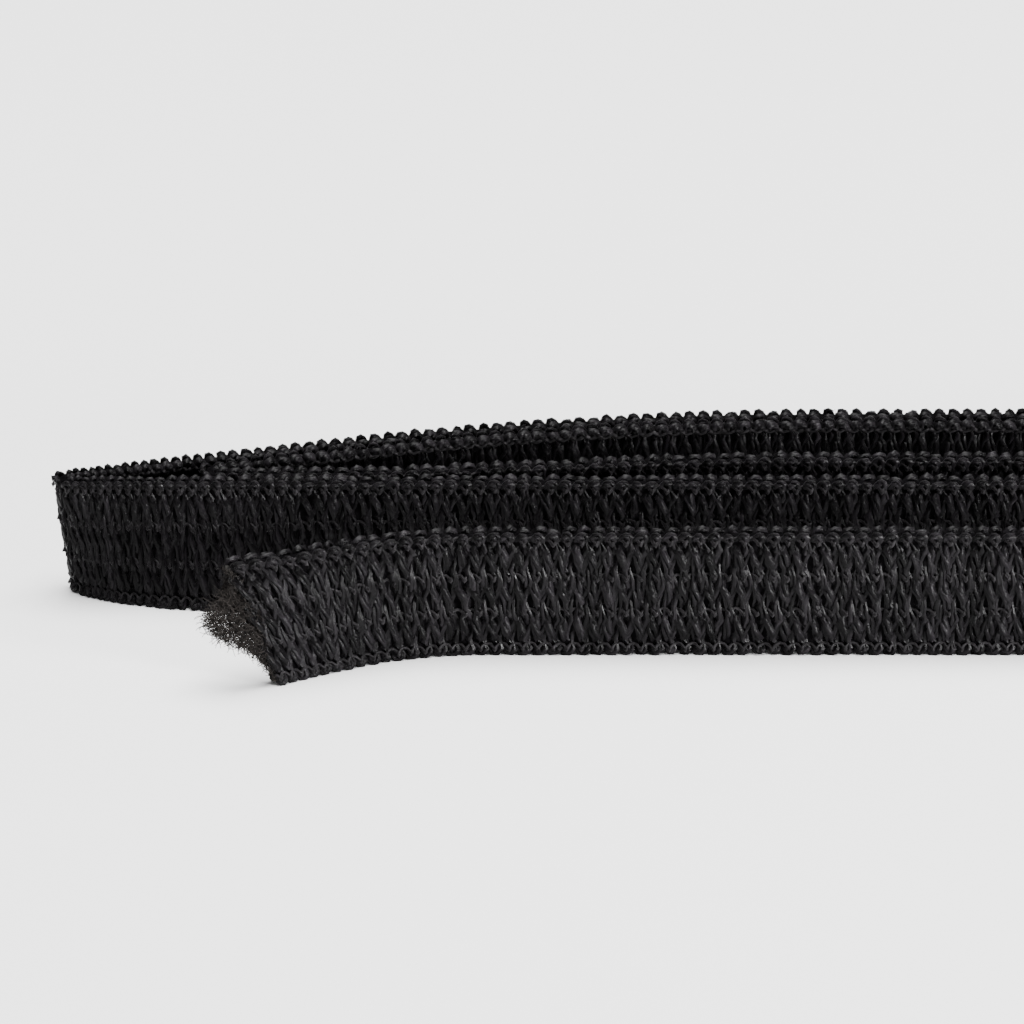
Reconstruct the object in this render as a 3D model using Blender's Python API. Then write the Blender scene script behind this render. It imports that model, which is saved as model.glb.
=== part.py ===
"""Hank of flat knitted elastic tape, standing on its edge and wound in a flat oval.

The tape runs from the loose cut end along the front, round the right-hand bend, back along the
rear, round a tight fold at the left and through a second, inner turn.  Every yarn and every rubber
thread follows that one route, so each is drawn as a section swept along it.

Frame: metres, +X along the hank, +Y from the loose strip to the rear, +Z up.  The origin is the
centre of the bounding box on the surface the hank stands on.
"""

import math

import bmesh
import bpy
import numpy as np
from mathutils import Vector
from mathutils.geometry import delaunay_2d_cdt

MM = 0.001

# Tape
TAPE_WIDTH = 6.0 * MM
TAPE_THICKNESS = 0.9 * MM

# Hank, in plan
HANK_LENGTH = 109.0 * MM
LAYER_GAP = 0.2 * MM            # between turns that lie against each other
STRIP_SPACE = 5.95 * MM         # clear space between the loose strip and the outer turn
INNER_SPACE = 2.2 * MM          # clear space between the two front runs
EYE_SPACE = 4.2 * MM            # clear space inside the inner turn
WEDGE_ANGLE = math.radians(18.0)    # angle at which the rear runs close on the left-hand folds
KNEE_RADIUS = 75.0 * MM         # bend that leads the outer rear run into its wedge
SPREAD_START = 15.0 * MM        # where the inner front run leaves the outer one
SPREAD_END = 32.0 * MM
SPREAD_RADIUS = 60.0 * MM
INNER_BEND_SETBACK = 4.0 * MM   # inner right-hand bend, short of the outer one
INNER_END_SETBACK = 6.0 * MM    # inner end of the tape, short of the inner bend
STRIP_START = 9.9 * MM          # loose end, from the left-hand end of the hank
CURL_START = 17.4 * MM          # where the loose end turns out of line
CURL_ANGLE = math.radians(27.0)
CURL_RADIUS = 14.0 * MM

# Lean of the tape, as the offset of its lower edge from its upper edge
FOLD_LEAN = 0.8 * MM            # lower edge to the rear, at the outer fold
FOLD_LEAN_REACH = 2.2 * MM
RUN_LEAN = 1.5 * MM             # lower edge to the front, just right of the folds
RUN_LEAN_AT = 8.0 * MM
RUN_LEAN_REACH = 5.0 * MM
FLARE = 0.66 * MM               # upper edge out to the left, at the outer fold
FLARE_REACH = 2.0 * MM
CUT_SKEW = 2.3 * MM             # slant of the cut across the loose end
CUT_SKEW_REACH = 3.0 * MM

# Yarns and rubber threads
WALE_COUNT = 4
WALE_INSET = 0.40 * MM          # from the tape's edge to the centre of the edge wale
CHAIN_WIDTH = 0.44 * MM
CHAIN_THICKNESS = 0.16 * MM
RUBBER_SIDE = 0.26 * MM
FRONT_WEB = 0.14 * MM           # front weft left under a chain
YARN_GAP = 0.06 * MM

# Facets
BEND_STEP = math.radians(15.0)
FOLD_STEP = math.radians(20.0)
GENTLE_STEP = math.radians(3.5)
NEAR_STEP = 1.7 * MM            # stations where the tape leans
FAR_STEP = 24.0 * MM            # stations on the straight runs
NEAR_LIMIT = 17.0 * MM

LAYER = TAPE_THICKNESS + LAYER_GAP
HALF = TAPE_THICKNESS / 2
STRIP_Y = -(STRIP_SPACE + TAPE_THICKNESS)
INNER_FRONT_Y = INNER_SPACE + TAPE_THICKNESS
INNER_REAR_Y = INNER_FRONT_Y + EYE_SPACE + TAPE_THICKNESS
OUTER_REAR_Y = INNER_REAR_Y + LAYER


def plan_corners():
    """Corners of the route in plan, each with the radius and facet step of its bend."""
    fold_radius = LAYER / 2
    half_wedge = WEDGE_ANGLE / 2
    apex_x = HALF + fold_radius - fold_radius / math.sin(half_wedge) * math.cos(half_wedge)
    slope = math.tan(WEDGE_ANGLE)
    rear_knee_x = apex_x + OUTER_REAR_Y / slope
    inner_apex_x = apex_x + (LAYER + LAYER / math.cos(WEDGE_ANGLE)) / slope
    inner_knee_x = inner_apex_x + (INNER_REAR_Y - LAYER) / slope
    outer_radius = (OUTER_REAR_Y - STRIP_Y) / 2
    inner_radius = INNER_REAR_Y / 2
    right_x = HANK_LENGTH - HALF
    bend_x = right_x - outer_radius
    inner_right_x = bend_x - INNER_BEND_SETBACK + inner_radius
    inner_end_x = inner_right_x - inner_radius - INNER_END_SETBACK
    start_y = STRIP_Y - (CURL_START - STRIP_START) * math.tan(CURL_ANGLE)
    return [
        ((STRIP_START, start_y), 0.0, BEND_STEP),
        ((CURL_START, STRIP_Y), CURL_RADIUS, GENTLE_STEP),
        ((right_x, STRIP_Y), outer_radius, BEND_STEP),
        ((right_x, OUTER_REAR_Y), outer_radius, BEND_STEP),
        ((rear_knee_x, OUTER_REAR_Y), KNEE_RADIUS, GENTLE_STEP),
        ((apex_x, 0.0), fold_radius, FOLD_STEP),
        ((inner_right_x, 0.0), inner_radius, BEND_STEP),
        ((inner_right_x, INNER_REAR_Y), inner_radius, BEND_STEP),
        ((inner_knee_x, INNER_REAR_Y), KNEE_RADIUS - LAYER, GENTLE_STEP),
        ((inner_apex_x, LAYER), fold_radius, FOLD_STEP),
        ((SPREAD_START, LAYER), SPREAD_RADIUS, GENTLE_STEP),
        ((SPREAD_END, INNER_FRONT_Y), SPREAD_RADIUS, GENTLE_STEP),
        ((inner_end_x, INNER_FRONT_Y), 0.0, BEND_STEP),
    ]


def straight(start, end):
    """Stations strictly between two points: close together where the tape leans."""
    span = end - start
    length = float(np.linalg.norm(span))
    out = []
    done = 0.0
    while True:
        here = start + span * (done / length)
        ahead = span[0] / length
        near = here[0] < NEAR_LIMIT or (ahead < 0 and here[0] - FAR_STEP < NEAR_LIMIT)
        step = NEAR_STEP if near else FAR_STEP
        if near and ahead < 0 and here[0] > NEAR_LIMIT + NEAR_STEP:
            step = here[0] - NEAR_LIMIT
        done += step
        if done > length - 0.6 * NEAR_STEP:
            return out
        out.append((start + span * (done / length), span / length))


def route():
    """Stations along the tape: positions and unit directions in plan."""
    corners = plan_corners()
    points = [np.array(corner[0]) for corner in corners]
    stations = []
    previous_end = points[0]
    first = points[1] - points[0]
    stations.append((points[0], first / np.linalg.norm(first)))
    for index in range(1, len(points) - 1):
        radius, step = corners[index][1], corners[index][2]
        before = points[index] - points[index - 1]
        after = points[index + 1] - points[index]
        before = before / np.linalg.norm(before)
        after = after / np.linalg.norm(after)
        cross = before[0] * after[1] - before[1] * after[0]
        turn = math.atan2(cross, float(before @ after))
        tangent = radius * math.tan(abs(turn) / 2)
        start = points[index] - before * tangent
        stations.extend(straight(previous_end, start))
        side = math.copysign(1.0, turn)
        centre = start + side * radius * np.array([-before[1], before[0]])
        count = max(1, round(abs(turn) / step))
        if radius > TAPE_THICKNESS and start[0] < NEAR_LIMIT:
            count = max(count, math.ceil(abs(turn) * radius / NEAR_STEP))
        for i in range(count + 1):
            angle = turn * i / count
            c, s = math.cos(angle), math.sin(angle)
            heading = np.array([before[0] * c - before[1] * s, before[0] * s + before[1] * c])
            place = centre + side * radius * np.array([heading[1], -heading[0]])
            if np.linalg.norm(place - stations[-1][0]) > 1e-6:
                stations.append((place, heading))
        previous_end = points[index] + after * tangent
    stations.extend(straight(previous_end, points[-1]))
    stations.append((points[-1], stations[-1][1]))
    return stations


def leaned(x, y, z):
    """Apply the tape's lean: the same shift for every turn, so neighbours stay apart."""
    low = 1.0 - z / TAPE_WIDTH
    if y < STRIP_Y + STRIP_SPACE / 2:
        skew = CUT_SKEW * math.exp(-max(0.0, x - STRIP_START) / CUT_SKEW_REACH)
        return x + skew * (low - 0.5), y, z
    rear = FOLD_LEAN * math.exp(-((x / FOLD_LEAN_REACH) ** 2))
    front = RUN_LEAN * math.exp(-(((x - RUN_LEAN_AT) / RUN_LEAN_REACH) ** 2))
    flare = FLARE * math.exp(-((x / FLARE_REACH) ** 2))
    return x + flare * low, y + (rear - front) * low, z


def wale_heights():
    """Heights of the wales, from the lower edge to the upper."""
    span = TAPE_WIDTH - 2 * WALE_INSET
    return [WALE_INSET + span * i / (WALE_COUNT - 1) for i in range(WALE_COUNT)]


def grooved(face, floor, width, back, back_width):
    """Section with one face grooved at every wale: (across, up) pairs.

    The plain back face has points beside the inner wales, so that where the tape twists it stays
    parallel to the face it lies against.
    """
    points = [(back, 0.0), (face, 0.0)]
    for height in wale_heights():
        low, high = height - width / 2, height + width / 2
        points += [(face, low), (floor, low), (floor, high), (face, high)]
    points += [(face, TAPE_WIDTH), (back, TAPE_WIDTH)]
    for height in reversed(wale_heights()[1:-1]):
        points += [(back, height + back_width / 2), (back, height - back_width / 2)]
    return points


def block(low, high, height, width):
    """Rectangular section from low to high across the tape, centred at one height."""
    return [
        (low, height - width / 2),
        (high, height - width / 2),
        (high, height + width / 2),
        (low, height + width / 2),
    ]


def sections():
    """Section of every node, keyed by its name."""
    groove_floor = HALF - CHAIN_THICKNESS - YARN_GAP
    front_back = groove_floor - FRONT_WEB
    rear_face = front_back - YARN_GAP
    pocket_floor = rear_face - RUBBER_SIDE - YARN_GAP
    chain_slot = CHAIN_WIDTH + 2 * YARN_GAP
    rubber_slot = RUBBER_SIDE + 2 * YARN_GAP
    out = {
        "front_weft": grooved(HALF, groove_floor, chain_slot, front_back, rubber_slot),
        "back_weft": grooved(rear_face, pocket_floor, rubber_slot, -HALF, chain_slot),
    }
    for number, height in enumerate(wale_heights(), start=1):
        chain = block(groove_floor + YARN_GAP, HALF, height, CHAIN_WIDTH)
        rubber = block(pocket_floor + YARN_GAP, rear_face, height, RUBBER_SIDE)
        out[f"wale_chain_{number}"] = chain
        out[f"rubber_thread_{number}"] = rubber
    return out


def cap_triangles(section):
    """Triangles that fill a section, as corner numbers, with none of them flat."""
    corners = [Vector((across / MM, up / MM)) for across, up in section]
    outline = [list(range(len(corners)))]
    filled = delaunay_2d_cdt(corners, [], outline, 1, 1e-6)
    source = [numbers[0] for numbers in filled[3]]
    return [[source[i] for i in triangle] for triangle in filled[2]]


def sweep(name, section, stations, shift):
    """One closed solid: the section carried along the stations."""
    bm = bmesh.new()
    rings = []
    for place, heading in stations:
        outward = (heading[1], -heading[0])
        ring = []
        for across, up in section:
            x = place[0] + outward[0] * across
            y = place[1] + outward[1] * across
            x, y, z = leaned(x, y, up)
            ring.append(bm.verts.new((x + shift[0], y + shift[1], z)))
        rings.append(ring)
    count = len(section)
    for a, b in zip(rings[:-1], rings[1:]):
        for i in range(count):
            j = (i + 1) % count
            bm.faces.new((a[i], a[j], b[j], b[i]))
    for ring in (rings[0], rings[-1]):
        for triangle in cap_triangles(section):
            bm.faces.new([ring[i] for i in triangle])
    bmesh.ops.recalc_face_normals(bm, faces=bm.faces)
    if bm.calc_volume(signed=True) < 0:
        bmesh.ops.reverse_faces(bm, faces=bm.faces)
    mesh = bpy.data.meshes.new(name)
    bm.to_mesh(mesh)
    bm.free()
    obj = bpy.data.objects.new(name, mesh)
    bpy.context.scene.collection.objects.link(obj)
    return obj


def material(name, colour, roughness, sheen):
    """Principled material with plain values."""
    mat = bpy.data.materials.new(name)
    mat.use_nodes = True
    shader = mat.node_tree.nodes["Principled BSDF"]
    shader.inputs["Base Color"].default_value = (*colour, 1.0)
    shader.inputs["Roughness"].default_value = roughness
    shader.inputs["Sheen Weight"].default_value = sheen
    return mat


def main():
    """Build every node of the hank."""
    for old in list(bpy.data.objects):
        bpy.data.objects.remove(old, do_unlink=True)
    stations = route()
    shapes = sections()
    reach = []
    for place, heading in stations:
        for across in (-HALF, HALF):
            for up in (0.0, TAPE_WIDTH):
                x = place[0] + heading[1] * across
                y = place[1] - heading[0] * across
                reach.append(leaned(x, y, up)[:2])
    reach = np.array(reach)
    shift = -(reach.min(axis=0) + reach.max(axis=0)) / 2
    finishes = {
        "front_weft": ((0.012, 0.011, 0.012), 0.62, 0.3),
        "back_weft": ((0.013, 0.012, 0.013), 0.66, 0.3),
        "wale_chain": ((0.018, 0.017, 0.018), 0.5, 0.2),
        "rubber_thread": ((0.035, 0.031, 0.028), 0.7, 0.0),
    }
    for name, section in shapes.items():
        obj = sweep(name, section, stations, shift)
        key = name if name in finishes else name.rsplit("_", 1)[0]
        colour, roughness, sheen = finishes[key]
        obj.data.materials.append(material(name, colour, roughness, sheen))


main()
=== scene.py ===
import logging
import math
from dataclasses import dataclass, field
from enum import Enum

import bpy
import numpy as np
from mathutils import Matrix, Vector


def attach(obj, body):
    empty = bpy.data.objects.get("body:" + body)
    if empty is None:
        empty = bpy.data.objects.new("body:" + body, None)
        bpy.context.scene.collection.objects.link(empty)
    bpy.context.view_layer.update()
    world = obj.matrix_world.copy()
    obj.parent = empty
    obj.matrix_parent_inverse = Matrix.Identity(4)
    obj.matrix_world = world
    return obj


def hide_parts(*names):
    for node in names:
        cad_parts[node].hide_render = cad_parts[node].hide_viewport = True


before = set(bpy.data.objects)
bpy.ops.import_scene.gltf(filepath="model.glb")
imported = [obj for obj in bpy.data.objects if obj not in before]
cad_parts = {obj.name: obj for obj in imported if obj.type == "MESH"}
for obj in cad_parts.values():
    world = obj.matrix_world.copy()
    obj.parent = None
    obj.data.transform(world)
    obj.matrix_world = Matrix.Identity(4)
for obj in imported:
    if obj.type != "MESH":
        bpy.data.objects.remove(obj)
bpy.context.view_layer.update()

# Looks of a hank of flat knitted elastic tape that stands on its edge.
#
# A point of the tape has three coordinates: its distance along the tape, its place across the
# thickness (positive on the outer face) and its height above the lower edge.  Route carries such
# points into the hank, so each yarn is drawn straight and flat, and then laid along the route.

MM = 0.001
LOG = logging.getLogger("hank")
BODY = "root"
SIDES = 3  # faces round a filament
PROBE = 0.2 * MM  # how far a second point lies outward, to find the outward direction


class Face(Enum):
    """The two faces of the tape: the sign is that of the place across its thickness."""

    OUTER = 1
    INNER = -1


class Stitch(Enum):
    """How a wale's row of stitches looks from one face."""

    LOOPS = "interlocked loops"
    BARS = "short bars between the loops"


# ---------------------------------------------------------------------------
# Route of the tape


@dataclass(frozen=True)
class Tape:
    """Sizes of the tape itself, in metres."""

    width: float = 6.0 * MM
    thickness: float = 0.9 * MM
    layer_gap: float = 0.2 * MM
    pitch: float = 0.68 * MM
    wale_count: int = 4
    wale_inset: float = 0.40 * MM

    @property
    def layer(self) -> float:
        """Distance between two turns that lie against each other."""
        return self.thickness + self.layer_gap

    def wales(self) -> np.ndarray:
        """Heights of the wales, evenly spaced between the two edge wales."""
        return np.linspace(self.wale_inset, self.width - self.wale_inset, self.wale_count)


@dataclass
class Route:
    """Where the tape goes: straights and arcs in plan, and the lean of the tape."""

    tape: Tape
    hank_length: float = 109.0 * MM
    strip_space: float = 5.95 * MM
    inner_space: float = 2.2 * MM
    eye_space: float = 4.2 * MM
    wedge_angle: float = math.radians(18.0)
    knee_radius: float = 75.0 * MM
    spread_start: float = 15.0 * MM
    spread_end: float = 32.0 * MM
    spread_radius: float = 60.0 * MM
    inner_bend_setback: float = 4.0 * MM
    inner_end_setback: float = 6.0 * MM
    strip_start: float = 9.9 * MM
    curl_start: float = 17.4 * MM
    curl_angle: float = math.radians(27.0)
    curl_radius: float = 14.0 * MM
    fold_lean: float = 0.8 * MM
    fold_lean_reach: float = 2.2 * MM
    run_lean: float = 1.5 * MM
    run_lean_at: float = 8.0 * MM
    run_lean_reach: float = 5.0 * MM
    flare: float = 0.66 * MM
    flare_reach: float = 2.0 * MM
    cut_skew: float = 2.3 * MM
    cut_skew_reach: float = 3.0 * MM
    step: float = 0.05 * MM
    table: dict[str, np.ndarray] = field(default_factory=dict)
    shift: np.ndarray = field(default_factory=lambda: np.zeros(2))

    def corners(self) -> list[tuple[tuple[float, float], float]]:
        """Corners of the route in plan.

        Returns:
            Each corner's place in plan and the radius of its bend, from the cut end inward.
        """
        tape = self.tape
        half = tape.thickness / 2
        fold = tape.layer / 2
        strip_y = -(self.strip_space + tape.thickness)
        inner_front = self.inner_space + tape.thickness
        inner_rear = inner_front + self.eye_space + tape.thickness
        outer_rear = inner_rear + tape.layer
        slope = math.tan(self.wedge_angle)
        apex = half + fold - fold / math.tan(self.wedge_angle / 2)
        knee = apex + outer_rear / slope
        inner_apex = apex + tape.layer * (1 + 1 / math.cos(self.wedge_angle)) / slope
        inner_knee = inner_apex + (inner_rear - tape.layer) / slope
        outer_bend = (outer_rear - strip_y) / 2
        inner_bend = inner_rear / 2
        right = self.hank_length - half
        inner_right = right - outer_bend - self.inner_bend_setback + inner_bend
        inner_end = inner_right - inner_bend - self.inner_end_setback
        reach = self.curl_start - self.strip_start
        start_y = strip_y - reach * math.tan(self.curl_angle)
        return [
            ((self.strip_start, start_y), 0.0),
            ((self.curl_start, strip_y), self.curl_radius),
            ((right, strip_y), outer_bend),
            ((right, outer_rear), outer_bend),
            ((knee, outer_rear), self.knee_radius),
            ((apex, 0.0), fold),
            ((inner_right, 0.0), inner_bend),
            ((inner_right, inner_rear), inner_bend),
            ((inner_knee, inner_rear), self.knee_radius - tape.layer),
            ((inner_apex, tape.layer), fold),
            ((self.spread_start, tape.layer), self.spread_radius),
            ((self.spread_end, inner_front), self.spread_radius),
            ((inner_end, inner_front), 0.0),
        ]

    def build(self) -> None:
        """Fill the table of distance, place and heading along the route.

        Each corner is rounded by an arc that meets both of its straights: the arc starts
        radius times tan(half the turn) before the corner.
        """
        corners = self.corners()
        points = [np.array(place) for place, _ in corners]
        xs, ys, headings = [], [], []
        start = points[0]
        heading = 0.0
        for i in range(1, len(points)):
            leg = points[i] - points[i - 1]
            heading_new = math.atan2(leg[1], leg[0])
            heading += math.remainder(heading_new - heading, 2 * math.pi)
            radius = corners[i][1]
            turn = 0.0
            if i < len(points) - 1:
                ahead = points[i + 1] - points[i]
                turn = math.remainder(math.atan2(ahead[1], ahead[0]) - heading, 2 * math.pi)
            ahead_unit = np.array([math.cos(heading), math.sin(heading)])
            end = points[i] - ahead_unit * radius * math.tan(abs(turn) / 2)
            count = max(2, math.ceil(np.linalg.norm(end - start) / self.step))
            along = np.linspace(0.0, 1.0, count, endpoint=False)
            xs.append(start[0] + (end[0] - start[0]) * along)
            ys.append(start[1] + (end[1] - start[1]) * along)
            headings.append(np.full(count, heading))
            if turn == 0.0:
                xs.append(end[:1])
                ys.append(end[1:])
                headings.append(np.array([heading]))
                break
            side = math.copysign(1.0, turn)
            centre = end + side * radius * np.array([-ahead_unit[1], ahead_unit[0]])
            count = max(4, math.ceil(abs(turn) * radius / self.step))
            angle = heading + turn * np.linspace(0.0, 1.0, count, endpoint=False)
            xs.append(centre[0] + side * radius * np.sin(angle))
            ys.append(centre[1] - side * radius * np.cos(angle))
            headings.append(angle)
            heading += turn
            start = centre + side * radius * np.array([math.sin(heading), -math.cos(heading)])
        x, y, angle = np.concatenate(xs), np.concatenate(ys), np.concatenate(headings)
        apart = np.concatenate([[True], np.hypot(np.diff(x), np.diff(y)) > self.step * 0.01])
        x, y, angle = x[apart], y[apart], angle[apart]
        distance = np.concatenate([[0.0], np.cumsum(np.hypot(np.diff(x), np.diff(y)))])
        self.table = {"s": distance, "x": x, "y": y, "heading": angle}
        half = self.tape.thickness / 2
        ends = []
        for across in (-half, half):
            for up in (0.0, self.tape.width):
                ends.append(self.place(distance, np.full_like(x, across), np.full_like(x, up)))
        ends = np.concatenate(ends)[:, :2]
        self.shift = -(ends.min(axis=0) + ends.max(axis=0)) / 2

    @property
    def length(self) -> float:
        """Length of the tape's centre line."""
        return float(self.table["s"][-1])

    def plan_x(self, s: np.ndarray) -> np.ndarray:
        """Distance of the centre line from the left-hand end of the hank."""
        return np.interp(s, self.table["s"], self.table["x"])

    def centre_line(self, count: int) -> list[list[float]]:
        """Points along the middle of the tape, halfway up and halfway through.

        Args:
            count: how many points, evenly spaced.

        Returns:
            The points, each a list of three.
        """
        s = np.linspace(0.0, self.length, count)
        return self.place(s, np.zeros(count), np.full(count, self.tape.width / 2)).tolist()

    def place(self, s: np.ndarray, across: np.ndarray, up: np.ndarray) -> np.ndarray:
        """Carry tape coordinates into the hank.

        A point is the centre line's point, plus the outward direction times its place across.
        Its lean then moves it in proportion to its depth below the upper edge.

        Args:
            s: distances along the tape, any shape.
            across: places across the thickness, positive on the outer face.
            up: heights above the lower edge.

        Returns:
            Points, with one more axis of three.
        """
        heading = np.interp(s, self.table["s"], self.table["heading"])
        beyond = s - np.clip(s, 0.0, self.table["s"][-1])
        x = np.interp(s, self.table["s"], self.table["x"]) + beyond * np.cos(heading)
        y = np.interp(s, self.table["s"], self.table["y"]) + beyond * np.sin(heading)
        x = x + np.sin(heading) * across
        y = y - np.cos(heading) * across
        low = 1.0 - up / self.tape.width
        strip_line = -(self.strip_space + self.tape.thickness) + self.strip_space / 2
        skew = self.cut_skew * np.exp(-np.maximum(0.0, x - self.strip_start) / self.cut_skew_reach)
        rear = self.fold_lean * np.exp(-((x / self.fold_lean_reach) ** 2))
        front = self.run_lean * np.exp(-(((x - self.run_lean_at) / self.run_lean_reach) ** 2))
        flare = self.flare * np.exp(-((x / self.flare_reach) ** 2))
        loose = y < strip_line
        leaned_x = x + np.where(loose, skew * (low - 0.5), flare * low)
        leaned_y = y + np.where(loose, 0.0, (rear - front) * low)
        return np.stack([leaned_x + self.shift[0], leaned_y + self.shift[1], up], axis=-1)


@dataclass
class Courses:
    """Where the courses of stitches lie along the tape: they close up at the tight folds."""

    route: Route
    closing: float = 0.5
    closing_reach: float = 6.5 * MM
    s: np.ndarray = field(default_factory=lambda: np.zeros(1))
    count: np.ndarray = field(default_factory=lambda: np.zeros(1))

    def build(self) -> None:
        """Count the courses passed up to each distance, the sum of one over the pitch."""
        table = self.route.table
        s = table["s"]
        near = np.exp(-((np.maximum(table["x"], 0.0) / self.closing_reach) ** 1.5))
        near = np.where(table["y"] < -self.route.tape.layer, 0.0, near)
        pitch = self.route.tape.pitch * (1.0 - self.closing * near)
        rate = (1 / pitch[1:] + 1 / pitch[:-1]) / 2
        self.s = s
        self.count = np.concatenate([[0.0], np.cumsum(np.diff(s) * rate)])

    @property
    def total(self) -> int:
        """Whole courses in the tape."""
        return int(self.count[-1])

    def at(self, course: np.ndarray) -> np.ndarray:
        """Distance along the tape of a course number, whole or not."""
        return np.interp(course, self.count, self.s)


# ---------------------------------------------------------------------------
# Meshes


def mesh_object(name: str, points: np.ndarray, faces: np.ndarray) -> bpy.types.Object:
    """Make a smooth mesh object from whole arrays.

    Args:
        name: the piece's name.
        points: vertices, N by 3.
        faces: corners of the faces, M by 4.

    Returns:
        The linked object, at the origin.
    """
    mesh = bpy.data.meshes.new(name)
    mesh.vertices.add(len(points))
    mesh.vertices.foreach_set("co", np.asarray(points, dtype=np.float32).ravel())
    corners = faces.shape[1]
    mesh.loops.add(faces.size)
    mesh.loops.foreach_set("vertex_index", faces.astype(np.int32).ravel())
    mesh.polygons.add(len(faces))
    starts = np.arange(len(faces), dtype=np.int32) * corners
    mesh.polygons.foreach_set("loop_start", starts)
    mesh.update(calc_edges=True)
    mesh.polygons.foreach_set("use_smooth", np.ones(len(faces), dtype=bool))
    mesh.validate()
    obj = bpy.data.objects.new(name, mesh)
    bpy.context.scene.collection.objects.link(obj)
    return obj


def unit(vectors: np.ndarray) -> np.ndarray:
    """Vectors scaled to length one."""
    length = np.linalg.norm(vectors, axis=-1, keepdims=True)
    return vectors / np.maximum(length, 1e-12)


@dataclass
class Strands:
    """Tubes laid side by side: centres and half-sizes as arrays of strand by ring.

    A ring's points are centre + cos(a) * broad * side + sin(a) * deep * out, where side and
    out are square to the strand and out leans towards the given direction.
    """

    centres: np.ndarray
    out: np.ndarray
    broad: np.ndarray
    deep: np.ndarray
    sides: int
    shade: np.ndarray
    looped: bool = False

    def ahead(self) -> np.ndarray:
        """Direction of each strand at each ring, from the rings on both sides of it."""
        if self.looped:
            before, after = np.roll(self.centres, 1, axis=1), np.roll(self.centres, -1, axis=1)
            return unit(after - before)
        return unit(np.gradient(self.centres, axis=1))

    def build(self, name: str) -> bpy.types.Object:
        """Make one object that holds all the strands, each a loop or closed at both ends.

        Args:
            name: the object's name.

        Returns:
            The linked object.
        """
        strands, rings = self.centres.shape[:2]
        ahead = self.ahead()
        side = unit(np.cross(ahead, self.out))
        out = np.cross(side, ahead)
        angle = np.linspace(0.0, 2 * math.pi, self.sides, endpoint=False)
        across = np.cos(angle) * self.broad[..., None]
        upward = np.sin(angle) * self.deep[..., None]
        points = self.centres[:, :, None, :] + across[..., None] * side[:, :, None, :]
        points = points + upward[..., None] * out[:, :, None, :]
        step = np.linalg.norm(np.diff(self.centres, axis=1, append=self.centres[:, :1]), axis=-1)
        length = np.concatenate([np.zeros((strands, 1)), np.cumsum(step, axis=1)], axis=1) / MM
        index = np.arange(strands * rings * self.sides).reshape(strands, rings, self.sides)
        ahead_index = np.roll(index, -1, axis=1)
        last = rings if self.looped else rings - 1
        near, far = index[:, :last], ahead_index[:, :last]
        quads = np.stack([near, far, np.roll(far, -1, axis=2), np.roll(near, -1, axis=2)], axis=-1)
        shape = near.shape
        u0 = np.broadcast_to(length[:, :last, None], shape)
        u1 = np.broadcast_to(length[:, 1 : last + 1, None], shape)
        offset = np.arange(strands)[:, None, None] * 0.37
        v0 = np.broadcast_to(np.arange(self.sides) / self.sides + offset, shape)
        v1 = v0 + 1.0 / self.sides
        corners = [np.stack(pair, axis=-1) for pair in ((u0, v0), (u1, v0), (u1, v1), (u0, v1))]
        uv = np.stack(corners, axis=3).reshape(-1, 4, 2)
        shade = np.repeat(self.shade.reshape(-1), self.sides)
        if self.looped:
            none = np.zeros((0, 3), dtype=int)
            rings_only = points.reshape(-1, 3)
            return closed_object(name, rings_only, quads.reshape(-1, 4), none, uv, shade)
        first = strands * rings * self.sides
        low = np.broadcast_to(first + np.arange(strands)[:, None], (strands, self.sides))
        start = np.stack([index[:, 0], np.roll(index[:, 0], -1, axis=1), low], axis=-1)
        end = np.stack([np.roll(index[:, -1], -1, axis=1), index[:, -1], low + strands], axis=-1)
        fans = np.concatenate([start.reshape(-1, 3), end.reshape(-1, 3)])
        tips = [self.centres[:, 0], self.centres[:, -1]]
        all_points = np.concatenate([points.reshape(-1, 3), *tips])
        shade = np.concatenate([shade, self.shade[:, 0], self.shade[:, -1]])
        return closed_object(name, all_points, quads.reshape(-1, 4), fans, uv, shade)


def closed_object(name: str, points: np.ndarray, quads: np.ndarray, fans: np.ndarray,
                  uv: np.ndarray, shade: np.ndarray) -> bpy.types.Object:
    """Make an object from quads and the triangles that close its ends.

    Args:
        name: the piece's name.
        points: vertices, N by 3.
        quads: M by 4 corners.
        fans: K by 3 corners.
        uv: M by 4 by 2, for the quads.
        shade: one value for each vertex.

    Returns:
        The linked object.
    """
    mesh = bpy.data.meshes.new(name)
    mesh.vertices.add(len(points))
    mesh.vertices.foreach_set("co", np.asarray(points, dtype=np.float32).ravel())
    loops = np.concatenate([quads.ravel(), fans.ravel()]).astype(np.int32)
    mesh.loops.add(len(loops))
    mesh.loops.foreach_set("vertex_index", loops)
    starts = np.concatenate(
        [np.arange(len(quads)) * 4, quads.size + np.arange(len(fans)) * 3]
    ).astype(np.int32)
    mesh.polygons.add(len(starts))
    mesh.polygons.foreach_set("loop_start", starts)
    mesh.update(calc_edges=True)
    mesh.polygons.foreach_set("use_smooth", np.ones(len(starts), dtype=bool))
    layer = mesh.uv_layers.new(name="UVMap")
    both = np.concatenate([uv.reshape(-1, 2), np.zeros((fans.size, 2))])
    layer.uv.foreach_set("vector", both.astype(np.float32).ravel())
    made = mesh.attributes.new("shade", "FLOAT", "POINT")
    made.data.foreach_set("value", shade.astype(np.float32))
    mesh.validate()
    obj = bpy.data.objects.new(name, mesh)
    bpy.context.scene.collection.objects.link(obj)
    return obj


# ---------------------------------------------------------------------------
# Finishes


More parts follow.
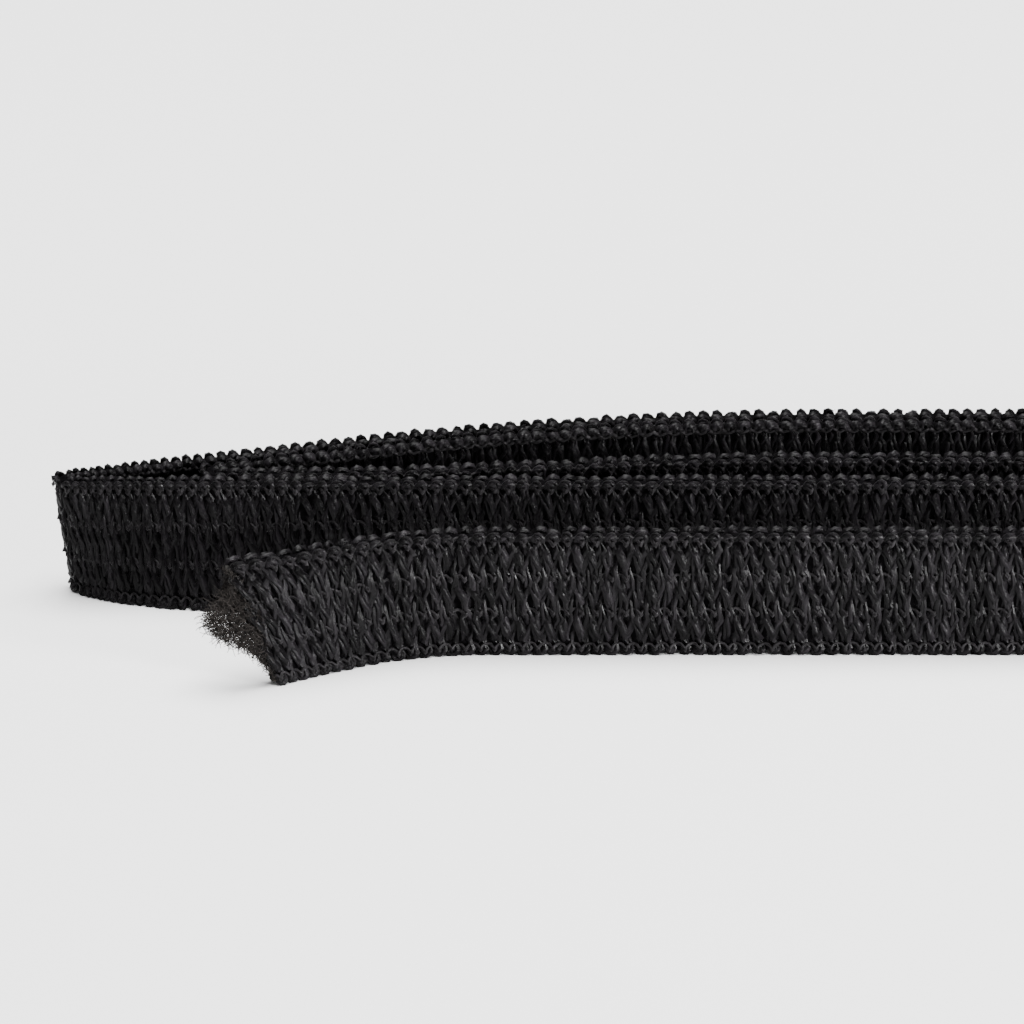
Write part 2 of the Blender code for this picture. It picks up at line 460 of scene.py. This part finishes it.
@dataclass(frozen=True)
class YarnFinish:
    """Textured multifilament yarn: dark, softly shiny, with filaments that catch the light."""

    name: str
    dark: tuple[float, float, float]
    light: tuple[float, float, float]
    roughness: float
    sheen: float
    gloss: float
    filaments: float = 9.0
    relief: float = 0.6
    shine_low: float = 0.44
    shine_high: float = 0.64
    matt_share: float = 2.8

    def make(self) -> bpy.types.Material:
        """Build the material: streaks run along the yarn in its own UV map.

        Returns:
            The new material.
        """
        mat = bpy.data.materials.new(self.name)
        mat.use_nodes = True
        tree = mat.node_tree
        nodes, links = tree.nodes, tree.links
        shader = nodes["Principled BSDF"]
        shader.inputs["Roughness"].default_value = self.roughness
        shader.inputs["Sheen Weight"].default_value = self.sheen
        shader.inputs["Sheen Roughness"].default_value = 0.4
        shader.inputs["Sheen Tint"].default_value = (0.9, 0.86, 0.9, 1.0)
        shader.inputs["Specular IOR Level"].default_value = self.gloss
        coords = nodes.new("ShaderNodeTexCoord")
        mapping = nodes.new("ShaderNodeMapping")
        mapping.inputs["Scale"].default_value = (2.2, self.filaments, 1.0)
        mapping.inputs["Rotation"].default_value = (0.0, 0.0, math.radians(12.0))
        links.new(coords.outputs["UV"], mapping.inputs["Vector"])
        streaks = nodes.new("ShaderNodeTexNoise")
        streaks.inputs["Scale"].default_value = 1.0
        streaks.inputs["Detail"].default_value = 3.0
        streaks.inputs["Roughness"].default_value = 0.65
        links.new(mapping.outputs["Vector"], streaks.inputs["Vector"])
        ramp = nodes.new("ShaderNodeValToRGB")
        ramp.color_ramp.elements[0].position = 0.35
        ramp.color_ramp.elements[0].color = (*self.dark, 1.0)
        ramp.color_ramp.elements[1].position = 0.68
        ramp.color_ramp.elements[1].color = (*self.light, 1.0)
        links.new(streaks.outputs["Fac"], ramp.inputs["Fac"])
        shade = nodes.new("ShaderNodeAttribute")
        shade.attribute_name = "shade"
        tone = nodes.new("ShaderNodeMix")
        tone.data_type = "RGBA"
        tone.blend_type = "MULTIPLY"
        tone.inputs["Factor"].default_value = 1.0
        links.new(ramp.outputs["Color"], tone.inputs["A"])
        links.new(shade.outputs["Color"], tone.inputs["B"])
        links.new(tone.outputs["Result"], shader.inputs["Base Color"])
        worn = nodes.new("ShaderNodeMapRange")
        worn.inputs["From Min"].default_value = self.shine_low
        worn.inputs["From Max"].default_value = self.shine_high
        worn.inputs["To Min"].default_value = self.roughness * self.matt_share
        worn.inputs["To Max"].default_value = self.roughness
        links.new(streaks.outputs["Fac"], worn.inputs["Value"])
        links.new(worn.outputs["Result"], shader.inputs["Roughness"])
        bump = nodes.new("ShaderNodeBump")
        bump.inputs["Strength"].default_value = self.relief
        bump.inputs["Distance"].default_value = 0.05 * MM
        links.new(streaks.outputs["Fac"], bump.inputs["Height"])
        links.new(bump.outputs["Normal"], shader.inputs["Normal"])
        return mat


@dataclass(frozen=True)
class PlainFinish:
    """A finish with a fine grain over one colour, on Object coordinates."""

    name: str
    colour: tuple[float, float, float]
    roughness: float
    gloss: float
    grain: float = 4000.0
    relief: float = 0.3

    def make(self) -> bpy.types.Material:
        """Build the material.

        Returns:
            The new material.
        """
        mat = bpy.data.materials.new(self.name)
        mat.use_nodes = True
        nodes, links = mat.node_tree.nodes, mat.node_tree.links
        shader = nodes["Principled BSDF"]
        shader.inputs["Specular IOR Level"].default_value = self.gloss
        coords = nodes.new("ShaderNodeTexCoord")
        noise = nodes.new("ShaderNodeTexNoise")
        noise.inputs["Scale"].default_value = self.grain
        noise.inputs["Detail"].default_value = 4.0
        links.new(coords.outputs["Object"], noise.inputs["Vector"])
        ramp = nodes.new("ShaderNodeValToRGB")
        for element, place, share in zip(ramp.color_ramp.elements, (0.35, 0.65), (0.6, 1.4)):
            element.position = place
            element.color = (*(channel * share for channel in self.colour), 1.0)
        links.new(noise.outputs["Fac"], ramp.inputs["Fac"])
        links.new(ramp.outputs["Color"], shader.inputs["Base Color"])
        matt = nodes.new("ShaderNodeMapRange")
        matt.inputs["To Min"].default_value = self.roughness * 0.8
        matt.inputs["To Max"].default_value = min(1.0, self.roughness * 1.15)
        links.new(noise.outputs["Fac"], matt.inputs["Value"])
        links.new(matt.outputs["Result"], shader.inputs["Roughness"])
        bump = nodes.new("ShaderNodeBump")
        bump.inputs["Strength"].default_value = self.relief
        bump.inputs["Distance"].default_value = 0.02 * MM
        links.new(noise.outputs["Fac"], bump.inputs["Height"])
        links.new(bump.outputs["Normal"], shader.inputs["Normal"])
        return mat


WEFT_FINISH = YarnFinish(
    "weft yarn", dark=(0.0007, 0.0006, 0.0008), light=(0.0080, 0.0071, 0.0081),
    roughness=0.13, sheen=0.01, gloss=0.072, relief=1.0,
)
CHAIN_FINISH = YarnFinish(
    "chain yarn", dark=(0.002, 0.0018, 0.002), light=(0.018, 0.0165, 0.018),
    roughness=0.26, sheen=0.02, gloss=0.090, filaments=6.0,
)
FRAY_FINISH = YarnFinish(
    "frayed filament", dark=(0.0088, 0.0078, 0.0073), light=(0.033, 0.029, 0.0267),
    roughness=0.8, sheen=0.01, gloss=0.08, filaments=2.0, relief=0.2,
)
# Near-black and without shine: painted shade for the holes between the yarns, over the black of the
# packed yarn inside.
GROUND_SHADE_FINISH = PlainFinish("packed yarn with painted hole shade", (0.0028, 0.0026, 0.0029), 1.0, gloss=0.0)
RUBBER_FINISH = PlainFinish("rubber thread", (0.012, 0.011, 0.010), 0.65, gloss=0.2, grain=9000.0)


# ---------------------------------------------------------------------------
# Parts of the tape


@dataclass
class Ground:
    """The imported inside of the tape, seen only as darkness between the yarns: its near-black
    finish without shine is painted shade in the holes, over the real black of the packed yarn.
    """

    route: Route
    half_depth: float = 0.25 * MM
    margin: float = 0.15 * MM
    ring_step: float = 0.25 * MM

    def build(self) -> bpy.types.Object:
        """Carry a flat eight-sided section along the whole tape.

        Returns:
            The linked object, closed at both ends.
        """
        width = self.route.tape.width
        depth = self.half_depth
        soft = 0.12 * MM
        across = np.array([-1, -1, -0.4, 0.4, 1, 1, 0.4, -0.4]) * depth
        low, high = self.margin, width - self.margin
        up = np.array([high - soft, low + soft, low, low, low + soft, high - soft, high, high])
        end = self.route.length - 0.15 * MM
        count = int(self.route.length / self.ring_step)
        s = np.linspace(0.15 * MM, end, count)
        shape = (count, 8)
        grid = [np.broadcast_to(a, shape) for a in (s[:, None], across[None], up[None])]
        points = self.route.place(*grid)
        index = np.arange(count * 8).reshape(shape)
        following = np.roll(index, -1, axis=1)
        quads = np.stack([index[:-1], index[1:], following[1:], following[:-1]], axis=-1)
        tips = np.stack([points[0].mean(axis=0), points[-1].mean(axis=0)])
        first = count * 8
        start_fan = np.stack([index[0], following[0], np.full(8, first)], axis=-1)
        end_fan = np.stack([following[-1], index[-1], np.full(8, first + 1)], axis=-1)
        uv = np.zeros((quads.reshape(-1, 4).shape[0], 4, 2))
        all_points = np.concatenate([points.reshape(-1, 3), tips])
        return closed_object(
            "tape_ground", all_points, quads.reshape(-1, 4),
            np.concatenate([start_fan, end_fan]), uv, np.ones(len(all_points)),
        )


@dataclass
class Weft:
    """The weft on one face: a net of plies, each course a loop that turns at both edges.

    The two plies of a course swing towards each other and away again twice between wales, so
    that they meet alternately within the course and with its neighbours, and leave a hole
    between each two meetings.  At an edge the two plies join in an arch.
    """

    route: Route
    courses: Courses
    face: Face
    filaments: int
    pieces: int
    swing: float = 0.20
    sharpness: float = 2.8
    ply_rings: int = 17
    out_high: float = 0.33 * MM
    out_low: float = 0.21 * MM
    edge_out: float = 0.34 * MM
    arch_angles: tuple[float, ...] = (20.0, 52.0, 90.0, 128.0, 160.0)
    arch_foot: float = 0.50 * MM
    arch_inset: float = 0.10 * MM
    bundle: float = 0.160 * MM
    bundle_deep: float = 0.080 * MM
    filament: float = 0.186 * MM
    broad_share: float = 1.05
    deep_share: float = 0.72
    twists: int = 4
    slant: float = 0.16
    ply_place: float = 0.25
    arch_spread: float = 0.13
    foot_reach: float = 0.16 * MM
    foot_sink: float = 0.10 * MM
    swing_spread: float = 0.04
    course_spread: float = 0.035
    ring_spread: float = 0.03
    height_spread: float = 0.014 * MM
    seed: int = 11

    def loop(self) -> tuple[np.ndarray, np.ndarray, np.ndarray]:
        """The rings of one course, up one ply, over the upper arch, down the other and under.

        Returns:
            Heights, ply (+1 and -1, between them in the arches) and edge (1 in the arches).
        """
        width = self.route.tape.width
        straight = np.linspace(self.arch_foot, width - self.arch_foot, self.ply_rings)
        arc = np.radians(np.array(self.arch_angles))
        reach = self.arch_foot - self.arch_inset
        bow = np.sqrt(np.sin(arc))
        top = width - self.arch_foot + reach * bow
        low = self.arch_foot - reach * bow
        up = np.concatenate([straight, top, straight[::-1], low])
        ply = np.concatenate([-np.ones(self.ply_rings), -np.cos(arc),
                              np.ones(self.ply_rings), np.cos(arc)])
        edge = np.concatenate([np.zeros(self.ply_rings), bow,
                               np.zeros(self.ply_rings), bow])
        return up, ply, edge

    def build(self) -> list[bpy.types.Object]:
        """Lay every course's loop, as a few pieces of whole courses.

        Returns:
            The pieces, in order along the tape.
        """
        rng = np.random.default_rng(self.seed + self.face.value)
        tape = self.route.tape
        up, ply, edge = self.loop()
        count, rings = self.courses.total, len(up)
        wales = tape.wales()
        row = (wales[1] - wales[0]) / 2
        phase = math.pi * (up - wales[0] - row / 2) / row
        wave = np.sign(np.cos(phase)) * np.abs(np.cos(phase)) ** self.sharpness * (1 - edge)
        reach = rng.normal(self.swing, self.swing_spread, (count, 1))
        side = ply * (self.ply_place + self.arch_spread * edge) - ply * reach * wave
        wander = rng.normal(0.0, self.course_spread, (count, 1))
        wander = wander + rng.normal(0.0, self.ring_spread, (count, rings))
        lean = self.slant * (0.5 - up / tape.width) * self.face.value
        course = np.arange(count)[:, None] + 0.5 + side + wander * (1 - 0.6 * edge) + lean
        leaning = -ply * np.sin(phase) * self.face.value
        mid = (self.out_high + self.out_low) / 2
        swell = (self.out_high - self.out_low) / 2
        out = mid + swell * leaning + rng.normal(0.0, self.height_spread, (count, rings))
        from_edge = np.minimum(up, tape.width - up)
        foot = np.exp(-(((from_edge - self.arch_foot) / self.foot_reach) ** 2))
        out = out * (1 - edge) + self.edge_out * edge - self.foot_sink * foot * (1 - edge)
        turn = 2 * math.pi * self.twists * np.arange(rings) / rings
        thin = 1.0 - 0.22 * np.abs(np.sin(phase)) * (1 - edge) + rng.normal(0, 0.06, (count, rings))
        thin = thin - 0.25 * foot * (1 - edge) - 0.14 * edge
        made = []
        spacing = np.gradient(self.courses.s, self.courses.count)
        local = np.interp(course, self.courses.count, spacing) / tape.pitch
        local = np.clip(local, 0.5, 1.1)
        ply_shade = rng.uniform(0.35, 1.7, (count, 2))
        strands = []
        for number in range(self.filaments):
            angle = turn + 2 * math.pi * number / self.filaments + rng.uniform(0, 6.28, (count, 1))
            shift = np.cos(angle) * self.bundle * thin * local
            deep = np.sin(angle) * self.bundle_deep * thin
            s = self.courses.at(np.clip(course, 0.0, self.courses.count[-1]))
            s = s + shift * (1 - 0.55 * edge)
            height = up + shift * edge * 0.7
            centres = self.route.place(s, (out + deep) * self.face.value, height)
            far = self.route.place(s, (out + deep + PROBE) * self.face.value, height)
            thick = self.filament * thin * (0.55 + 0.45 * local)
            shade = np.where(ply > 0, ply_shade[:, :1], ply_shade[:, 1:])
            shade = shade * rng.uniform(0.6, 1.5, (count, 1))
            strands.append((centres, unit(far - centres), thick, shade))
        centres, outward, thick, shade = (
            np.stack(parts, axis=1).reshape(count * self.filaments, rings, -1).squeeze()
            for parts in zip(*strands)
        )
        cuts = np.linspace(0, count, self.pieces + 1).astype(int) * self.filaments
        label = "front_weft" if self.face is Face.OUTER else "back_weft"
        for piece, (low, high) in enumerate(zip(cuts[:-1], cuts[1:]), start=1):
            part = Strands(centres[low:high], outward[low:high], thick[low:high] * self.broad_share,
                           thick[low:high] * self.deep_share, SIDES, shade[low:high], looped=True)
            made.append(part.build(f"{label}_yarn_{piece}"))
        return made


@dataclass
class WaleRow:
    """The stitches of one wale on one face.

    Loops follow a curve whose distance along is the course plus a part of sin(t) and whose
    height is cos(t), which crosses itself once a course as a chain of loops does.
    """

    route: Route
    courses: Courses
    number: int
    face: Face
    stitch: Stitch
    out: float = 0.36 * MM
    reach: float = 0.15 * MM
    overlap: float = 0.17
    thick: float = 0.095 * MM
    broad_share: float = 1.15
    loop_rings: int = 8
    bar_rings: int = 4
    loop_dip: float = 0.11 * MM
    bar_rise: float = 0.08 * MM
    seed: int = 5

    def build(self) -> bpy.types.Object:
        """Lay the row's yarn along the whole tape.

        Returns:
            The linked object.
        """
        rng = np.random.default_rng(self.seed * 100 + self.number * 2 + self.face.value)
        height = self.route.tape.wales()[self.number - 1]
        per_course = self.loop_rings if self.stitch is Stitch.LOOPS else self.bar_rings
        count = self.courses.total * per_course
        t = np.arange(count) / per_course
        angle = 2 * math.pi * t
        knots = np.arange(self.courses.total + 2)
        wander = np.interp(t, knots, rng.normal(0.0, 0.04, len(knots)))
        size = np.interp(t, knots, rng.normal(1.0, 0.12, len(knots)))
        if self.stitch is Stitch.LOOPS:
            course = t + self.overlap * size * np.sin(angle) + wander
            up = height + self.reach * size * np.cos(angle)
            out = self.out - self.loop_dip * np.cos(angle)
        else:
            course = t + wander
            up = height + self.bar_rise * np.sin(angle) * size
            out = self.out - 0.03 * MM + 0.05 * MM * np.cos(2 * angle)
        s = self.courses.at(np.clip(course, 0.0, self.courses.count[-1]))
        place = self.route.place(s, out * self.face.value, up)
        outward = unit(self.route.place(s, (out + PROBE) * self.face.value, up) - place)
        thick = np.full(count, self.thick) * (1 + rng.normal(0.0, 0.06, count))
        shade = np.interp(t, knots, rng.uniform(0.7, 1.5, len(knots)))
        broad = thick[None] * self.broad_share
        strands = Strands(place[None], outward[None], broad, thick[None], SIDES, shade[None])
        label = "front" if self.face is Face.OUTER else "back"
        return strands.build(f"wale_chain_{self.number}_{label}")


@dataclass
class Fuzz:
    """Loose filaments that stand off the yarn in shallow arcs."""

    route: Route
    count: int = 700
    thick: float = 0.011 * MM
    rings: int = 7
    outer_share: float = 0.8
    surface: float = 0.47 * MM
    clear: float = 0.3 * MM
    tone: float = 2.0
    seed: int = 21

    def build(self) -> bpy.types.Object:
        """Scatter the filaments over both faces.

        Returns:
            The linked object.
        """
        rng = np.random.default_rng(self.seed)
        n, rings = self.count, self.rings
        t = np.linspace(0.0, 1.0, rings)[None]
        face = np.where(rng.random(n) < self.outer_share, 1.0, -1.0)[:, None]
        s0 = rng.uniform(0.0, self.route.length, n)[:, None]
        v0 = rng.uniform(self.clear, self.route.tape.width - self.clear, n)[:, None]
        length = rng.uniform(0.25, 0.9, n)[:, None] * MM
        angle = np.radians(rng.normal(112.0, 25.0, n))[:, None]
        bend = rng.normal(0.0, 0.8, n)[:, None]
        lift = rng.uniform(0.01, 0.07, n)[:, None] * MM
        s = s0 + length * t * np.cos(angle + bend * t)
        v = np.clip(v0 + length * t * np.sin(angle + bend * t), 0.03 * MM, self.route.tape.width)
        out = self.surface + lift * np.sin(math.pi * t)
        place = self.route.place(s, out * face, v)
        outward = unit(self.route.place(s, (out + PROBE) * face, v) - place)
        thick = self.thick * np.broadcast_to(1.0 - 0.5 * t, (n, rings))
        strands = Strands(place, outward, thick, thick, SIDES, np.full((n, rings), self.tone))
        return strands.build("loose_filaments")


@dataclass
class FrayedEnd:
    """The fluff at the cut across the loose end: short curled filaments, most above its middle.

    Each filament starts inside a bulge that stands out from the cut, and turns as it goes.
    """

    route: Route
    count: int = 3000
    thick: float = 0.016 * MM
    middle: float = 0.54
    spread: float = 0.20
    fall_below: float = 0.25
    fall_above: float = 0.20
    bulge: float = 1.95 * MM
    rings: int = 8
    half_width: float = 0.42
    tone: tuple[float, float] = (0.5, 1.4)
    seed: int = 31

    def build(self) -> bpy.types.Object:
        """Curl each filament inside the bulge, which is deepest at its middle height.

        Returns:
            The linked object.
        """
        rng = np.random.default_rng(self.seed)
        n, rings = self.count, self.rings
        t = np.linspace(0.0, 1.0, rings)[None]
        share = np.clip(rng.normal(self.middle - 0.04, self.spread, n), 0.05, 0.93)[:, None]
        fall = np.where(share < self.middle, self.fall_below, self.fall_above)
        full = np.exp(-(((share - self.middle) / fall) ** 2))
        depth = rng.uniform(-0.30, 1.0, n)[:, None]
        depth = np.where(depth > 0, depth * full * self.bulge, depth * MM)
        v0 = share * self.route.tape.width
        reach = np.sqrt(np.clip(1 - (np.maximum(depth, 0) / (self.bulge * 1.1)) ** 2, 0, 1))
        u0 = rng.uniform(-self.half_width, self.half_width, n)[:, None] * MM * (0.4 + 0.6 * reach)
        length = rng.uniform(0.35, 0.95, n)[:, None] * MM * (0.35 + 0.65 * full)
        rise = rng.normal(0.0, 1.0, n)[:, None]
        curl = rng.normal(0.0, 3.2, n)[:, None]
        fan = rng.normal(0.0, 0.5, n)[:, None]
        along = np.cumsum(np.cos(rise + curl * t), axis=1) / rings
        upward = np.cumsum(np.sin(rise + curl * t), axis=1) / rings
        s = -depth - length * along
        v = np.clip(v0 + length * upward, 0.03 * MM, self.route.tape.width - 0.05 * MM)
        u = u0 + length * np.sin(fan + 0.6 * curl * t) * 0.25
        place = self.route.place(s, u, v)
        outward = unit(self.route.place(s, u + PROBE, v) - place)
        thick = self.thick * np.broadcast_to(1.0 - 0.35 * t, (n, rings))
        shade = np.broadcast_to(rng.uniform(*self.tone, n)[:, None], (n, rings))
        return Strands(place, outward, thick, thick, SIDES, shade).build("frayed_end")


# ---------------------------------------------------------------------------
# Studio


@dataclass
class Studio:
    """Pale floor, soft light and the camera."""

    route: Route
    aim_plan: tuple[float, float, float] = (21.84 * MM, -7.3 * MM, 7.13 * MM)
    elevation: float = math.radians(20.95)
    distance: float = 250.0 * MM
    lens: float = 191.0
    floor_size: float = 3.0
    lamps: tuple[tuple[str, tuple[float, float, float], float, float], ...] = (
        ("overhead", (0.0, 0.05, 0.6), 0.5, 15.0),
        ("glint", (0.185, -0.130, 0.034), 0.05, 1.9),
        ("fill", (-0.20, -0.50, 0.10), 0.20, 0.35),
    )
    world_strength: float = 0.25

    @property
    def aim(self) -> Vector:
        """The point that the camera looks at, in the hank's frame."""
        return Vector(self.aim_plan) + Vector((*self.route.shift, 0.0))

    def floor(self) -> bpy.types.Object:
        """One pale plane under the hank.

        Returns:
            The plane.
        """
        half = self.floor_size / 2
        points = np.array([[-half, -half, 0], [half, -half, 0], [half, half, 0], [-half, half, 0]])
        obj = mesh_object("floor", points, np.array([[0, 1, 2, 3]]))
        mat = bpy.data.materials.new("floor")
        mat.use_nodes = True
        shader = mat.node_tree.nodes["Principled BSDF"]
        shader.inputs["Base Color"].default_value = (0.86, 0.86, 0.86, 1.0)
        shader.inputs["Roughness"].default_value = 0.9
        obj.data.materials.append(mat)
        return obj

    def light(self, name: str, place: tuple[float, float, float], size: float,
              power: float) -> None:
        """Add a square soft light that faces the middle of what the camera sees.

        Args:
            name: the light's name.
            place: where it stands.
            size: its side.
            power: its power in watts.
        """
        data = bpy.data.lights.new(name, "AREA")
        data.shape = "SQUARE"
        data.size = size
        data.energy = power
        obj = bpy.data.objects.new(name, data)
        bpy.context.scene.collection.objects.link(obj)
        toward = self.aim - Vector(place)
        turn = toward.to_track_quat("-Z", "Y").to_matrix().to_4x4()
        obj.matrix_world = Matrix.Translation(Vector(place)) @ turn

    def build(self) -> None:
        """Set the floor, the lights, the world and the camera."""
        self.floor()
        for lamp in self.lamps:
            self.light(*lamp)
        world = bpy.data.worlds.new("studio")
        bpy.context.scene.world = world
        world.use_nodes = True
        background = world.node_tree.nodes["Background"]
        background.inputs["Color"].default_value = (1.0, 1.0, 1.0, 1.0)
        background.inputs["Strength"].default_value = self.world_strength
        data = bpy.data.cameras.new("camera")
        data.lens = self.lens
        data.sensor_width = 36.0
        data.clip_start = 0.005
        obj = bpy.data.objects.new("camera", data)
        bpy.context.scene.collection.objects.link(obj)
        back = Vector((0.0, -math.cos(self.elevation), math.sin(self.elevation)))
        place = self.aim + back * self.distance
        turn = (-back).to_track_quat("-Z", "Y").to_matrix().to_4x4()
        obj.matrix_world = Matrix.Translation(place) @ turn
        bpy.context.scene.camera = obj


# ---------------------------------------------------------------------------
# Assembly


def dress(obj: bpy.types.Object, finish: bpy.types.Material, slot: str) -> None:
    """Give a new piece its finish and its body.

    Args:
        obj: the new piece.
        finish: its material.
        slot: not used.
    """
    obj.data.materials.append(finish)
    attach(obj, BODY)
    LOG.info("%s: %d faces", obj.name, len(obj.data.polygons))


def main() -> None:
    logging.basicConfig(level=logging.INFO, format="%(message)s")
    tape = Tape()
    route = Route(tape)
    route.build()
    Studio(route).build()
    courses = Courses(route)
    courses.build()
    LOG.info("tape %.1f mm, %d courses", route.length / MM, courses.total)
    weft_mat = WEFT_FINISH.make()
    chain_mat = CHAIN_FINISH.make()
    fray_mat = FRAY_FINISH.make()
    ground_shade_mat = GROUND_SHADE_FINISH.make()
    rubber_mat = RUBBER_FINISH.make()
    yarns: list[bpy.types.Object] = []
    for face, node, filaments, pieces in (
        (Face.OUTER, "front_weft", 4, 5), (Face.INNER, "back_weft", 3, 4),
    ):
        made = Weft(route, courses, face, filaments, pieces).build()
        for piece in made:
            dress(piece, weft_mat, node)
            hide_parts(node)
        yarns += made
    for number in range(1, tape.wale_count + 1):
        node = f"wale_chain_{number}"
        for face, stitch in ((Face.OUTER, Stitch.LOOPS), (Face.INNER, Stitch.BARS)):
            piece = WaleRow(route, courses, number, face, stitch).build()
            dress(piece, chain_mat, "wale_chain")
            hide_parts(node)
            yarns.append(piece)
        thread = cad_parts[f"rubber_thread_{number}"]
        for slot in thread.material_slots:
            slot.material = rubber_mat
    # The ground's near-black finish is painted shade, seen in the holes between the yarns.
    ground = Ground(route).build()
    dress(ground, ground_shade_mat, "back_weft")
    fuzz = Fuzz(route).build()
    dress(fuzz, weft_mat, "front_weft")
    fray = FrayedEnd(route).build()
    dress(fray, fray_mat, "front_weft")
    centre_line = route.centre_line(400)
    route.length
    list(yarns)


if __name__ == "__main__":
    main()
